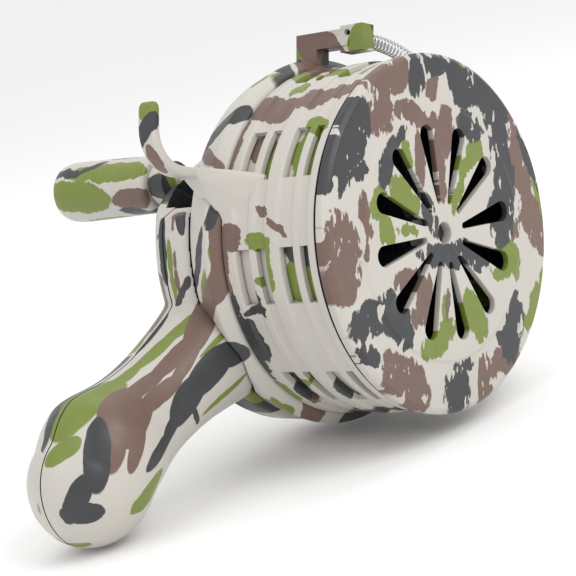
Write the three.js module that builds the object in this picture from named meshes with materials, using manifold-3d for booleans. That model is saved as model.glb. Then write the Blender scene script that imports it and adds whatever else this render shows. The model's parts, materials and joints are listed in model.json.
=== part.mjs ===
// Hand-cranked air siren: a ported drum with a turning shutter ring, a pistol grip and a rear crank.
// Millimetres, +Z up. The rotor axis runs along Y, with the intake cover at the front (-Y).
// The siren lies as it rests on a table: on its round housing and on the end of the grip.

import * as THREE from 'three';
import { mergeVertices } from 'three/addons/utils/BufferGeometryUtils.js';
import { ConvexGeometry } from 'three/addons/geometries/ConvexGeometry.js';
import Module from 'manifold-3d';

const wasm = await Module();
wasm.setup();

// ---------------------------------------------------------------- driving dimensions

const GAP = 0.3; // between pieces that rest on each other
const WALL = 2.5; // moulded wall
const SIDES = 48; // facets round the large diameters

// Axial stations, counted from the front face of the cover.
const COVER_DEPTH = 4.5;
const RING_FRONT = 5.3;
const RING_REAR = 41.7;
const SHELL_FRONT = 42;
const BULKHEAD = [47, 51];
const SHELL_REAR = 54.5;
const CASE_FRONT = 54.8;
const CASE_SPLIT = 64.6; // between the middle case and the rear case
const CASE_REAR = 80;

// Radii about the rotor axis.
const COVER_R = 55;
const RING_R = 53.6;
const RING_RIB_R = 54.5;
const RING_BORE_R = 52;
const DRUM_R = 51.6;
const DRUM_BORE_R = 48.6;
const HOUSING_R = 58.3;
const SHELL_REAR_R = 55;
const GRIP_ROOT_R = 53.5; // where the grip's root stands on the front shell
const CASE_FLAT = 36; // from the axis to the flat side
const FLAT_BEARING = 125;

// Shutter windows, as bearings anticlockwise from +X, seen from the front.
const WINDOW_BEARINGS = [156, 111, 66, 21, -24, -74, -119, -164];
const WINDOW_WIDTH = 18;
const PORT_WIDTH = 17;
const SHUTTER_TRAVEL = 21.5;

// Grip, before the siren is laid down.
const GRIP_BEARING = 223;
const TIP = { reach: 114.8, sideways: 3.2, radius: 18.3 };
// Each station: distance from the rotor axis, sideways shift, half width, half depth, middle of the depth.
const GRIP_STATIONS = [
  [36, 0, 26, 16.8, 62.7],
  [44, 0, 22.6, 17.2, 62.6],
  [50, 0.3, 20, 17.4, 62.6],
  [56, 0.9, 18.4, 17.5, 62.6],
  [62, 1.7, 17.1, 17.3, 62.8],
  [70, 2.9, 15.8, 16.7, 63.2],
  [78, 3.9, 15.3, 16.2, 63.6],
  [86, 5, 15.7, 16, 63.9],
  [93, 6, 16.9, 16.7, 64],
  [99, 6.8, 18.5, 18, 64],
  [104, 7.1, 19.3, 18.8, 64],
  [110, 5.6, 19.9, 19, 64],
  [115, 4.1, 19.1, 18.5, 64],
];
const HEEL = { reach: 110, sideways: 5.6, radius: 19.9 }; // the part of the grip that meets the table

// Gear train: two equal stages in line with the rotor.
const TOOTH_MODULE = 1;
const WHEEL_TEETH = 36;
const PINION_TEETH = 12;
const GEAR_CENTRES = TOOTH_MODULE * (WHEEL_TEETH + PINION_TEETH) / 2;

// Crank.
const CRANK_BEARING = 151.3; // before the siren is laid down
const CRANK_RADIUS = 39;
const ARM_FRONT = 81;
const ARM_REAR = 87;
const KNOB_FRONT = 88;
const KNOB_REAR = 131;

// Colours of the plain parts; the moulded shells share the camouflage base.
const sand = { color: 0xcec8c0, roughness: 0.42, metalness: 0 };
const blackPlastic = { color: 0x1c1d20, roughness: 0.4, metalness: 0 };
const whiteNylon = { color: 0xe4e1d6, roughness: 0.5, metalness: 0 };
const steel = { color: 0xa8aaad, roughness: 0.3, metalness: 1 };
const brass = { color: 0xb08d4a, roughness: 0.35, metalness: 1 };

// ---------------------------------------------------------------- helpers

const radians = THREE.MathUtils.degToRad;

function toSolid(geometry) {
  const plain = geometry.index ? geometry.clone() : geometry;
  plain.deleteAttribute('normal');
  plain.deleteAttribute('uv');
  const merged = mergeVertices(plain, 1e-4);
  return new wasm.Manifold(new wasm.Mesh({
    numProp: 3,
    vertProperties: new Float32Array(merged.attributes.position.array),
    triVerts: new Uint32Array(merged.index.array),
  }));
}

function toGeometry(solid) {
  const { vertProperties, triVerts } = solid.getMesh();
  const geometry = new THREE.BufferGeometry();
  geometry.setAttribute('position', new THREE.BufferAttribute(vertProperties, 3));
  geometry.setIndex(new THREE.BufferAttribute(triVerts, 1));
  geometry.computeVertexNormals();
  return geometry;
}

function union(solids) {
  return solids.reduce((whole, next) => whole.add(next));
}

// A point at a radius and a bearing about the rotor axis, as [x, z].
function polar(radius, bearing) {
  return [radius * Math.cos(radians(bearing)), radius * Math.sin(radians(bearing))];
}

// A turned solid about the rotor axis: the profile is [radius, y] pairs.
function turned(profile, sides = SIDES) {
  const points = profile.map(([r, y]) => new THREE.Vector2(r, y));
  return toSolid(new THREE.LatheGeometry(points, sides));
}

// A solid of revolution parallel to the rotor axis, from y0 to y1, about [x, z].
function rod(radius, y0, y1, [x, z] = [0, 0], sides = 24) {
  return turned([[0, y0], [radius, y0], [radius, y1], [0, y1]], sides).translate([x, 0, z]);
}

function tube(outer, inner, y0, y1, sides = SIDES) {
  return turned([[inner, y0], [outer, y0], [outer, y1], [inner, y1], [inner, y0]], sides);
}

// An outline in the X-Z plane, given depth from y0 to y1.
function slab(shape, y0, y1, curveSegments = 8) {
  const geometry = new THREE.ExtrudeGeometry(shape, { depth: y1 - y0, bevelEnabled: false, curveSegments });
  geometry.rotateX(Math.PI / 2).translate(0, y1, 0);
  return toSolid(geometry);
}

function outline(points) {
  return new THREE.Shape(points.map(([x, z]) => new THREE.Vector2(x, z)));
}

function block([x0, x1], [y0, y1], [z0, z1]) {
  const geometry = new THREE.BoxGeometry(x1 - x0, y1 - y0, z1 - z0);
  return toSolid(geometry.translate((x0 + x1) / 2, (y0 + y1) / 2, (z0 + z1) / 2));
}

// A wedge of the drum wall between two radii, centred on a bearing.
function wedge(inner, outer, bearing, width, y0, y1) {
  const steps = 2;
  const arc = (radius, from, to) => Array.from({ length: steps + 1 }, (_, i) =>
    polar(radius, bearing + THREE.MathUtils.lerp(from, to, i / steps)));
  const half = width / 2;
  return slab(outline([...arc(outer, -half, half), ...arc(inner, half, -half)]), y0, y1);
}

// Turn a solid whose length runs along +X to a bearing about the rotor axis.
function toBearing(solid, bearing) {
  return solid.rotate([0, -bearing, 0]);
}

// A closed skin through rings of equal length, with a point at each end.
function loft(rings, firstTip, lastTip) {
  const count = rings[0].length;
  const positions = [...rings.flat(), firstTip, lastTip].flat();
  const first = rings.length * count;
  const index = [];
  for (let i = 0; i < count; i++) {
    const j = (i + 1) % count;
    index.push(first, j, i);
    for (let r = 0; r < rings.length - 1; r++) {
      const [a, b] = [r * count + i, r * count + j];
      index.push(a, b, b + count, a, b + count, a + count);
    }
    const last = (rings.length - 1) * count;
    index.push(first + 1, last + i, last + j);
  }
  const geometry = new THREE.BufferGeometry();
  geometry.setAttribute('position', new THREE.Float32BufferAttribute(positions, 3));
  geometry.setIndex(index);
  return toSolid(geometry);
}

// ---------------------------------------------------------------- front cover

function petal(bearing) {
  const [near, far, narrow, wide] = [10, 30.3, 1, 3.2];
  const shape = new THREE.Shape();
  shape.moveTo(near, -narrow);
  shape.lineTo(far, -wide);
  shape.absarc(far, 0, wide, -Math.PI / 2, Math.PI / 2, false);
  shape.lineTo(near, narrow);
  shape.absarc(near, 0, narrow, Math.PI / 2, 3 * Math.PI / 2, false);
  return toBearing(slab(shape, -1, COVER_DEPTH + 1, 3), bearing);
}

const BOSS_R = 6.5;
const BOSS_REAR = 9;
const FRONT_BUSH_R = 3.6;
const SHAFT_R = 2;
const RUN = 0.06; // running clearance on a shaft

function frontCover() {
  const step = 0.6;
  const [stepR, edge] = [39.5, 1.6];
  const disc = turned([
    [0, 0], [stepR - step, 0], [stepR, step], [COVER_R - edge, step], [COVER_R - 0.4, step + 0.5],
    [COVER_R, step + edge], [COVER_R, COVER_DEPTH], [0, COVER_DEPTH],
  ]);
  const spigot = tube(DRUM_BORE_R - GAP, DRUM_BORE_R - GAP - 2, COVER_DEPTH - 1, 7.5);
  const boss = rod(BOSS_R, COVER_DEPTH - 1, BOSS_REAR, [0, 0], 32);
  const bore = rod(FRONT_BUSH_R + 0.05, 2, BOSS_REAR + 1);
  const hole = rod(3.3, -1, 3);
  const petals = Array.from({ length: 12 }, (_, i) => petal(17 + 30 * i));
  return union([disc, spigot, boss]).subtract(union([bore, hole, ...petals]));
}

// ---------------------------------------------------------------- drum and shutter ring

function statorDrum() {
  const wall = tube(DRUM_R, DRUM_BORE_R, RING_FRONT, BULKHEAD[0] - GAP);
  const ports = WINDOW_BEARINGS.map((b) => wedge(46, 54, b + SHUTTER_TRAVEL, PORT_WIDTH, 8.5, 37));
  return wall.subtract(union(ports));
}

// Raised ribs and window rows along the shutter ring, as [front, rear] stations.
const RING_RIBS = [[5.3, 8.1], [19.6, 24.8], [37, 41.7]];
const RING_ROWS = [[8.3, 11.7], [14.4, 19.4], [25, 28.8], [31.8, 36.8]];

// The thumb hook: a flat bar that leaves the ring, runs out level and curls up.
const HOOK = { y0: 44.2, y1: 50.8, thick: 3.3, level: 16.5, root: -56.5, bend: -67, curl: 12, top: 35.5 };

function hookBar() {
  const half = HOOK.thick / 2;
  const centre = new THREE.Vector2(HOOK.bend, HOOK.level + HOOK.curl);
  const shape = new THREE.Shape();
  shape.moveTo(HOOK.root, HOOK.level + half);
  shape.lineTo(HOOK.root, HOOK.level - half);
  shape.lineTo(HOOK.bend, HOOK.level - half);
  shape.absarc(centre.x, centre.y, HOOK.curl + half, -Math.PI / 2, -Math.PI, true);
  shape.lineTo(centre.x - HOOK.curl - half + 1, HOOK.top - 1);
  shape.absarc(centre.x - HOOK.curl + 1, HOOK.top - 1, half, Math.PI, 0, true);
  shape.lineTo(centre.x - HOOK.curl + half, centre.y);
  shape.absarc(centre.x, centre.y, HOOK.curl - half, Math.PI, 3 * Math.PI / 2, false);
  return slab(shape, HOOK.y0, HOOK.y1, 8);
}

// The web that carries the hook: it narrows from the ring to the root of the bar.
function hookWeb() {
  const half = HOOK.thick / 2;
  const onRing = (y, bearing) => {
    const [x, z] = polar(RING_R - 0.6, bearing);
    return new THREE.Vector3(x, y, z);
  };
  const root = [HOOK.y0, HOOK.y1].flatMap((y) => [HOOK.level - half, HOOK.level + half]
    .flatMap((z) => [HOOK.root - 2, HOOK.root + 1].map((x) => new THREE.Vector3(x, y, z))));
  const base = [onRing(29, 165), onRing(29, 169), onRing(RING_REAR, 159), onRing(RING_REAR, 177)];
  return toSolid(new ConvexGeometry([...base, ...root]));
}

const RING_LUG = { bearing: 57.5, width: 4.4, reach: 65.5 };

function shutterRing() {
  const body = tube(RING_R, RING_BORE_R, RING_FRONT, RING_REAR);
  const ribs = RING_RIBS.map(([y0, y1]) => tube(RING_RIB_R, RING_BORE_R, y0, y1));
  const windows = WINDOW_BEARINGS.flatMap((b) =>
    RING_ROWS.map(([y0, y1]) => wedge(50, 56, b, WINDOW_WIDTH, y0, y1)));
  const bore = rod(RING_BORE_R, 0, 60, [0, 0], SIDES);
  const shellRoom = rod(HOUSING_R + 0.6, RING_REAR, 70, [0, 0], SIDES);
  const web = hookWeb().subtract(shellRoom);
  const lug = wedge(RING_BORE_R - 1, RING_LUG.reach, RING_LUG.bearing, RING_LUG.width, 25, 33);
  return union([body, ...ribs]).subtract(union(windows)).add(union([web, hookBar(), lug])).subtract(bore);
}

// ---------------------------------------------------------------- return spring

const SEAT = { x: [-9.6, -4], y: [24.6, 33.5], z: [58, 66.4] };
const SPRING = { radius: 2.6, path: 62.2, y: 29, from: 92.9, to: 60.4 };

// The space of the coil spring, bent along the drum from the seat to the lug on the ring.
function returnSpring() {
  const steps = 12;
  const points = Array.from({ length: steps + 1 }, (_, i) => {
    const [x, z] = polar(SPRING.path, THREE.MathUtils.lerp(SPRING.from, SPRING.to, i / steps));
    return new THREE.Vector3(x, SPRING.y, z);
  });
  const section = new THREE.Shape().absarc(0, 0, SPRING.radius, 0, 2 * Math.PI, false);
  return toSolid(new THREE.ExtrudeGeometry(section, {
    steps, curveSegments: 5, extrudePath: new THREE.CatmullRomCurve3(points), bevelEnabled: false,
  }));
}

// ---------------------------------------------------------------- housing

const REAR_BUSH_R = 5;
const IDLER = polar(GEAR_CENTRES, GRIP_BEARING);
const CASE_SCREWS = [184, 262, 325, 38].map((bearing) => polar(50.5, bearing));

function frontShell() {
  const skin = turned([
    [DRUM_R + GAP, SHELL_FRONT], [COVER_R + 0.2, SHELL_FRONT], [HOUSING_R, 45.5], [SHELL_REAR_R, SHELL_REAR],
    [46, SHELL_REAR], [46, BULKHEAD[1]], [0, BULKHEAD[1]], [0, BULKHEAD[0]], [DRUM_R + GAP, BULKHEAD[0]],
    [DRUM_R + GAP, SHELL_FRONT],
  ]);
  const bushBoss = rod(8.5, BULKHEAD[0] - 1, BULKHEAD[1], [0, 0], 32);
  const springBlock = block([-10, -4], [43, 51.5], [53, 65.4]);
  const springArm = block([-10, -4], [30, 51.5], [60, 65.4]);
  const springSeat = block(SEAT.x, SEAT.y, SEAT.z);
  const hookHole = turned([[0, -12], [1, -12], [1, -3], [0, -3]], 12).rotate([0, 0, -90])
    .translate([-14, 30.5, 64]);
  const bushBore = rod(REAR_BUSH_R + 0.05, 40, 60);
  const axleHole = rod(1.55, 48, 60, IDLER, 16);
  const pilots = CASE_SCREWS.map((at) => rod(1.3, 47.6, 60, at, 12));
  const gripRoot = gripSolid(-GAP).subtract(rod(GRIP_ROOT_R - GAP, 0, 100, [0, 0], SIDES));
  return union([skin, bushBoss, springBlock, springArm, springSeat]).subtract(gripRoot)
    .subtract(union([hookHole, bushBore, axleHole, ...pilots]));
}

// A point on the grip's middle line, as [x, z].
function gripPoint(reach) {
  const next = GRIP_STATIONS.findIndex(([r]) => r >= reach);
  const [[r0, s0], [r1, s1]] = [GRIP_STATIONS[next - 1], GRIP_STATIONS[next]];
  const sideways = THREE.MathUtils.mapLinear(reach, r0, r1, s0, s1);
  const [x, z] = polar(reach, GRIP_BEARING);
  const [u, w] = polar(sideways, GRIP_BEARING - 90);
  return [x + u, z + w];
}

// Skin of the grip, shrunk by an inset.
function gripSolid(inset) {
  const count = 20;
  const ring = ([reach, sideways, halfWidth, halfDepth, middle]) => Array.from({ length: count }, (_, i) => {
    const a = 2 * Math.PI * i / count;
    const across = -sideways - (halfWidth - inset) * Math.cos(a);
    return [reach, middle + (halfDepth - inset) * Math.sin(a), across];
  });
  const cap = [20, 40, 58, 75].map((angle) => {
    const r = (TIP.radius - inset) * Math.cos(radians(angle)) + inset;
    return [TIP.reach + (TIP.radius - inset) * Math.sin(radians(angle)), TIP.sideways, r, r, 64];
  });
  const rings = [...GRIP_STATIONS, ...cap].map(ring);
  const end = [TIP.reach + TIP.radius - inset, 64, -TIP.sideways];
  return toBearing(loft(rings, [GRIP_STATIONS[0][0], 68.5, 0], end), GRIP_BEARING);
}

function caseSolid(inset) {
  const front = CASE_FRONT - 2 * inset;
  const round = turned([
    [0, front], [SHELL_REAR_R - 0.4 - inset, front], [56.6 - inset, CASE_FRONT + 2], [56.4 - inset, 67],
    [53.5 - inset, 71 - inset / 2], [49 - inset, 75 - inset], [44 - inset, 78 - inset],
    [38 - inset, CASE_REAR - inset], [0, CASE_REAR - inset],
  ]);
  const within = block([-80, CASE_FLAT - inset], [40, 90], [-70, 70]);
  return round.intersect(toBearing(within, FLAT_BEARING));
}

const CRANK_BUSH_R = 5;
const GRIP_SCREWS = [76, 104].map(gripPoint);

// Case and grip as one hollow moulding, before it is split.
function caseAndGrip() {
  const hollow = union([caseSolid(WALL), gripSolid(WALL)]);
  const skin = union([caseSolid(0), gripSolid(0)]).subtract(hollow);
  const bushBoss = rod(8.5, 72, CASE_REAR - 1, [0, 0], 32);
  const axleBoss = rod(4.5, 72.5, CASE_REAR - 1, IDLER);
  const screwBosses = union(CASE_SCREWS.map((at) => rod(4.2, CASE_FRONT, 90, at, 16)))
    .intersect(caseSolid(1));
  const gripBosses = union(GRIP_SCREWS.map((at) => rod(4, 40, 90, at, 16))).intersect(gripSolid(1));
  const ahead = rod(GRIP_ROOT_R, 0, CASE_FRONT, [0, 0], SIDES);
  return union([skin, bushBoss, axleBoss, screwBosses, gripBosses]).subtract(ahead);
}

function midCase(moulding) {
  const half = moulding.intersect(block([-200, 200], [0, CASE_SPLIT - GAP / 2], [-200, 200]));
  const sideOpening = toBearing(block([28, 70], [40, 70], [-48, 37.7]), FLAT_BEARING);
  const clearance = CASE_SCREWS.map((at) => rod(1.6, 45, 80, at, 12));
  const pilots = GRIP_SCREWS.map((at) => rod(1.3, 55, 70, at, 12));
  return half.subtract(union([sideOpening, ...clearance, ...pilots]));
}

function rearCase(moulding) {
  const half = moulding.intersect(block([-200, 200], [CASE_SPLIT + GAP / 2, 100], [-200, 200]));
  const shaftBore = rod(CRANK_BUSH_R + 0.05, 70, 85);
  const axleHole = rod(1.55, 70, 78, IDLER, 16);
  const caseHoles = CASE_SCREWS.flatMap((at) => [rod(1.6, 50, 85, at, 12), rod(3.3, 68.3, 85, at, 16)]);
  const gripHoles = GRIP_SCREWS.flatMap((at) => [rod(1.6, 60, 90, at, 12), rod(3.3, 73, 90, at, 16)]);
  return half.subtract(union([shaftBore, axleHole, ...caseHoles, ...gripHoles]));
}

// A pan-head screw entered from the rear: its head ends at headRear.
function screw([x, z], headRear, length) {
  const under = headRear - 2;
  return turned([
    [0, under - length], [1.2, under - length], [1.2, under], [2.9, under], [2.9, headRear], [0, headRear],
  ], 12).translate([x, 0, z]);
}

// ---------------------------------------------------------------- rotor and gears

const ROTOR_R = 47.4;

function rotor() {
  const disc = rod(ROTOR_R, 38, 40.5, [0, 0], SIDES);
  const hub = rod(7, 11, 45, [0, 0], 32);
  const rim = tube(ROTOR_R, ROTOR_R - 2.2, 9, 38.5);
  const openings = Array.from({ length: 8 }, (_, i) => wedge(42, 52, 22.5 + 45 * i, 22.5, 11.5, 36));
  const vanes = Array.from({ length: 8 }, (_, i) => {
    const angle = 45 * i;
    return toBearing(block([5, ROTOR_R - 1], [10, 39], [-0.9, 0.9]), angle);
  });
  const bore = rod(SHAFT_R + 0.05, 0, 60);
  return union([disc, hub, rim.subtract(union(openings)), ...vanes]).subtract(bore);
}

// A spur gear's outline with involute flanks, thinned for backlash.
function gearShape(teeth, phase) {
  const pressure = radians(20);
  const pitchR = TOOTH_MODULE * teeth / 2;
  const baseR = pitchR * Math.cos(pressure);
  const [tipR, rootR] = [pitchR + 0.85 * TOOTH_MODULE, pitchR - 1.2 * TOOTH_MODULE];
  const involute = (r) => {
    const a = Math.acos(Math.min(1, baseR / r));
    return Math.tan(a) - a;
  };
  const backlash = 0.14 / pitchR;
  const halfAt = (r) => Math.PI / (2 * teeth) - backlash + involute(pitchR) - involute(r);
  const startR = Math.max(baseR, rootR);
  const midR = (startR + tipR) / 2;
  const rising = startR - rootR > 0.2 ? [rootR, startR, midR, tipR] : [rootR, midR, tipR];
  const falling = rising.toReversed();
  const points = [];
  for (let i = 0; i < teeth; i++) {
    const middle = radians(phase) + 2 * Math.PI * i / teeth;
    const flank = (r, side) => {
      const angle = middle + side * halfAt(r);
      return [r * Math.cos(angle), r * Math.sin(angle)];
    };
    points.push(...rising.map((r) => flank(r, -1)), ...falling.map((r) => flank(r, 1)));
  }
  return outline(points.filter(([x, z], i) => {
    const [px, pz] = points[(i + points.length - 1) % points.length];
    return Math.hypot(x - px, z - pz) > 1e-3;
  }));
}

function gear(teeth, phase, y0, y1, boreR, [x, z] = [0, 0]) {
  return slab(gearShape(teeth, phase), y0, y1).translate([x, 0, z])
    .subtract(rod(boreR, y0 - 1, y1 + 1, [x, z]));
}

const MESH_PHASE = 180 / PINION_TEETH;
const WHEEL_Y = [56.6, 60.4];
const CRANK_WHEEL_Y = [66.6, 70.4];
const IDLER_HUB_R = 3.4;
const AXLE_R = 1.5;

function idlerWheel() {
  const wheel = gear(WHEEL_TEETH, GRIP_BEARING, ...WHEEL_Y, AXLE_R + RUN, IDLER);
  const hub = rod(IDLER_HUB_R, WHEEL_Y[1] - 1, 71.2, IDLER, 20);
  const bore = rod(AXLE_R + RUN, 50, 90, IDLER, 16);
  return wheel.add(hub).subtract(bore);
}

// ---------------------------------------------------------------- crank

const KNOB_AT = polar(CRANK_RADIUS, CRANK_BEARING);
const CRANK_SHAFT_R = 3;
const KNOB_PIN_R = 2.5;

function crankArm() {
  const [hubR, endR] = [8.5, 6.8];
  const lean = Math.asin((hubR - endR) / CRANK_RADIUS);
  const shape = new THREE.Shape();
  shape.absarc(0, 0, hubR, Math.PI / 2 - lean, 3 * Math.PI / 2 + lean, false);
  shape.absarc(CRANK_RADIUS, 0, endR, -Math.PI / 2 + lean, Math.PI / 2 - lean, false);
  const arm = toBearing(slab(shape, ARM_FRONT, ARM_REAR, 12), CRANK_BEARING);
  const hub = rod(7.5, ARM_REAR - 1, ARM_REAR + 3, [0, 0], 32);
  const bore = rod(CRANK_SHAFT_R + 0.05, 78, ARM_REAR + 1);
  const screwHole = rod(1.6, 80, 95, [0, 0], 12);
  const headRoom = rod(3.4, ARM_REAR + 0.8, 95, [0, 0], 16);
  const pinHole = rod(KNOB_PIN_R + 0.05, 80, 95, KNOB_AT);
  return union([arm, hub]).subtract(union([bore, screwHole, headRoom, pinHole]));
}

function crankShaft() {
  const shaft = rod(CRANK_SHAFT_R, 63.5, ARM_REAR + 0.7);
  return shaft.subtract(rod(1.3, 78, 95, [0, 0], 12));
}

function crankKnob() {
  const body = turned([
    [0, KNOB_FRONT], [8.2, KNOB_FRONT], [9.2, KNOB_FRONT + 1], [9.5, 100], [9.9, 118], [10, 126],
    [9.4, KNOB_REAR - 1.6], [7.4, KNOB_REAR], [0, KNOB_REAR],
  ], 28);
  const bore = rod(KNOB_PIN_R + RUN, 80, 135);
  const pocket = rod(5.2, 121, 140, [0, 0], 24);
  return body.subtract(union([bore, pocket])).translate([KNOB_AT[0], 0, KNOB_AT[1]]);
}

// A shouldered pin: riveted in the arm, with a head inside the knob.
function knobPin() {
  const head = 121.3;
  const profile = [[0, ARM_FRONT + 0.2], [KNOB_PIN_R, ARM_FRONT + 0.2], [KNOB_PIN_R, head], [4.3, head],
    [4.3, head + 2], [0, head + 2]];
  return turned(profile, 24).translate([KNOB_AT[0], 0, KNOB_AT[1]]);
}

// ---------------------------------------------------------------- assembly

const siren = new THREE.Group();

function addPiece(name, solid, finish) {
  const mesh = new THREE.Mesh(toGeometry(solid), new THREE.MeshStandardMaterial(finish));
  mesh.name = name;
  siren.add(mesh);
}

const moulding = caseAndGrip();
addPiece('front_cover', frontCover(), sand);
addPiece('stator_drum', statorDrum(), sand);
addPiece('front_shell', frontShell(), sand);
addPiece('middle_case', midCase(moulding), sand);
addPiece('rear_case', rearCase(moulding), sand);
addPiece('shutter_ring', shutterRing(), sand);
addPiece('return_spring', returnSpring(), steel);

addPiece('front_bush', tube(FRONT_BUSH_R, SHAFT_R + RUN, 3.4, BOSS_REAR, 24), brass);
addPiece('rear_bush', tube(REAR_BUSH_R, SHAFT_R + RUN, 46, BULKHEAD[1] + 1, 24), brass);
addPiece('crank_bush', tube(CRANK_BUSH_R, CRANK_SHAFT_R + RUN, 72, CASE_REAR + 0.4, 28), brass);
addPiece('idler_axle', rod(AXLE_R, 48.3, 77.7, IDLER, 16), steel);

addPiece('rotor', rotor(), blackPlastic);
addPiece('rotor_shaft', rod(SHAFT_R, 2.2, 62.4), steel);
addPiece('rotor_nut', rod(3.5, 9.3, 10.7, [0, 0], 6).subtract(rod(SHAFT_R + 0.05, 5, 15)), steel);
addPiece('rotor_pinion', gear(PINION_TEETH, GRIP_BEARING + MESH_PHASE, 56, 61, SHAFT_R + 0.05), whiteNylon);

addPiece('idler_wheel', idlerWheel(), whiteNylon);
addPiece('idler_pinion',
  gear(PINION_TEETH, GRIP_BEARING + MESH_PHASE, 66, 71, IDLER_HUB_R + 0.05, IDLER), whiteNylon);

addPiece('crank_wheel', gear(WHEEL_TEETH, GRIP_BEARING, ...CRANK_WHEEL_Y, CRANK_SHAFT_R + 0.05), whiteNylon);
addPiece('crank_shaft', crankShaft(), steel);
addPiece('crank_arm', crankArm(), sand);
addPiece('crank_screw', screw([0, 0], ARM_REAR + 3, 8), steel);
addPiece('knob_pin', knobPin(), steel);
addPiece('crank_knob', crankKnob(), sand);
addPiece('knob_cap', rod(5, 126, KNOB_REAR, KNOB_AT, 24), sand);

CASE_SCREWS.forEach((at, i) => addPiece(`case_screw_${i + 1}`, screw(at, 70.3, 20), steel));
GRIP_SCREWS.forEach((at, i) => addPiece(`grip_screw_${i + 1}`, screw(at, 75.3, 17), steel));

// Lay the siren down until the heel of the grip touches the table beside the round housing.
const heelBearing = GRIP_BEARING - THREE.MathUtils.radToDeg(Math.atan2(HEEL.sideways, HEEL.reach));
const heelReach = Math.hypot(HEEL.reach, HEEL.sideways);
siren.rotation.y = radians(heelBearing - 180) - Math.asin((HOUSING_R - HEEL.radius) / heelReach);
siren.updateMatrixWorld(true);
const box = new THREE.Box3().setFromObject(siren, true);
siren.position.set(-(box.min.x + box.max.x) / 2, -(box.min.y + box.max.y) / 2, -box.min.z);

export default siren;
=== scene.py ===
"""Looks of the hand-cranked siren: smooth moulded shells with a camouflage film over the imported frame.

Shapes are written in millimetres in the drum frame: Y runs along the rotor axis from the front face of the
cover, and bearings turn anticlockwise from +X as seen from the front. to_row() carries them to the row frame.
"""

import json
import math

import bmesh
import bpy
from mathutils import Matrix, Vector


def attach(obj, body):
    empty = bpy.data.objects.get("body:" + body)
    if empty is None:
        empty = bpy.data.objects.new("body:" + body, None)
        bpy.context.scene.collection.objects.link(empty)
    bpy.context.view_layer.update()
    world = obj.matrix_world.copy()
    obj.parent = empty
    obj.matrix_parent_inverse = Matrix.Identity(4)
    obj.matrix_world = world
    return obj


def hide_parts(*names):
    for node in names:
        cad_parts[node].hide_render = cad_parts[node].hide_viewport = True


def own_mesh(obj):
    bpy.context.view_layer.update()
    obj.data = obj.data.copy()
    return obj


bpy.context.scene.view_settings.view_transform = "Standard"
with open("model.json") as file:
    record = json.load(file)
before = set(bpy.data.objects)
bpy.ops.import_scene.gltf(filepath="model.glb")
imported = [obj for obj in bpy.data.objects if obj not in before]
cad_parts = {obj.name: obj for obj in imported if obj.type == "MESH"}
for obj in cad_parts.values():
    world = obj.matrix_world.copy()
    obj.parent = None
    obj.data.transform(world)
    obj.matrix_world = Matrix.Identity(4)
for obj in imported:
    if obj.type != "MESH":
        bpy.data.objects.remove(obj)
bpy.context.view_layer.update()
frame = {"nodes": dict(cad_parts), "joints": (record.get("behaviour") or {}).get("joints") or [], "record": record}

# ------------------------------------------------------------------ drum frame to row frame

JOINTS = {joint["name"]: joint for joint in frame["joints"]}
AXIS = Vector(JOINTS["crank_spin"]["pos_m"])
GRIP_BEARING = 223
# the idler sits on the grip's bearing, so its place in the row frame tells how far the drum leans
to_idler = Vector(JOINTS["idler_spin"]["pos_m"]) - AXIS
LEAN = math.radians(GRIP_BEARING) - math.atan2(to_idler.z, to_idler.x) % (2 * math.pi)
MM = 0.001
TURN = Matrix.Rotation(LEAN, 4, "Y")
TO_ROW = Matrix.Translation(AXIS) @ TURN @ Matrix.Scale(MM, 4)


def to_row(x, y, z):
    return TO_ROW @ Vector((x, y, z))


def polar(radius, bearing):
    a = math.radians(bearing)
    return radius * math.cos(a), radius * math.sin(a)


# ------------------------------------------------------------------ mesh helpers

def make_object(name, bm):
    """An object from a bmesh in the drum frame."""
    bmesh.ops.recalc_face_normals(bm, faces=bm.faces)
    mesh = bpy.data.meshes.new(name)
    bm.to_mesh(mesh)
    bm.free()
    obj = bpy.data.objects.new(name, mesh)
    bpy.context.scene.collection.objects.link(obj)
    return obj


def add_rings(bm, rings, closed=False, caps=True):
    """Skins a list of equal vertex rings."""
    loops = [[bm.verts.new(p) for p in ring] for ring in rings]
    count = len(loops[0])
    pairs = list(zip(loops, loops[1:]))
    if closed:
        pairs.append((loops[-1], loops[0]))
    for a, b in pairs:
        for i in range(count):
            j = (i + 1) % count
            bm.faces.new((a[i], a[j], b[j], b[i]))
    if caps and not closed:
        bm.faces.new(loops[0])
        bm.faces.new(loops[-1][::-1])
    return bm


def lathe(profile, sides=256, centre=(0, 0), closed=False):
    """A turned body from [radius, y] pairs; a closed profile makes a ring with a bore."""
    rings = []
    for radius, y in profile:
        rings.append([(centre[0] + radius * math.cos(2 * math.pi * i / sides), y,
                       centre[1] + radius * math.sin(2 * math.pi * i / sides)) for i in range(sides)])
    return add_rings(bmesh.new(), rings, closed)


def prism(outline, y0, y1):
    """An outline of [x, z] points, given depth."""
    rings = [[(x, y, z) for x, z in outline] for y in (y0, y1)]
    return add_rings(bmesh.new(), rings)


def box(x, y, z):
    return prism([(x[0], z[0]), (x[1], z[0]), (x[1], z[1]), (x[0], z[1])], *y)


def wedge(inner, outer, bearing, width, y0, y1, steps=8):
    angles = [bearing - width / 2 + width * i / steps for i in range(steps + 1)]
    outline = [polar(outer, a) for a in angles] + [polar(inner, a) for a in reversed(angles)]
    return prism(outline, y0, y1)


def turned_by(bm, bearing):
    bm.transform(Matrix.Rotation(-math.radians(bearing), 4, "Y"))
    return bm


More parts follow.
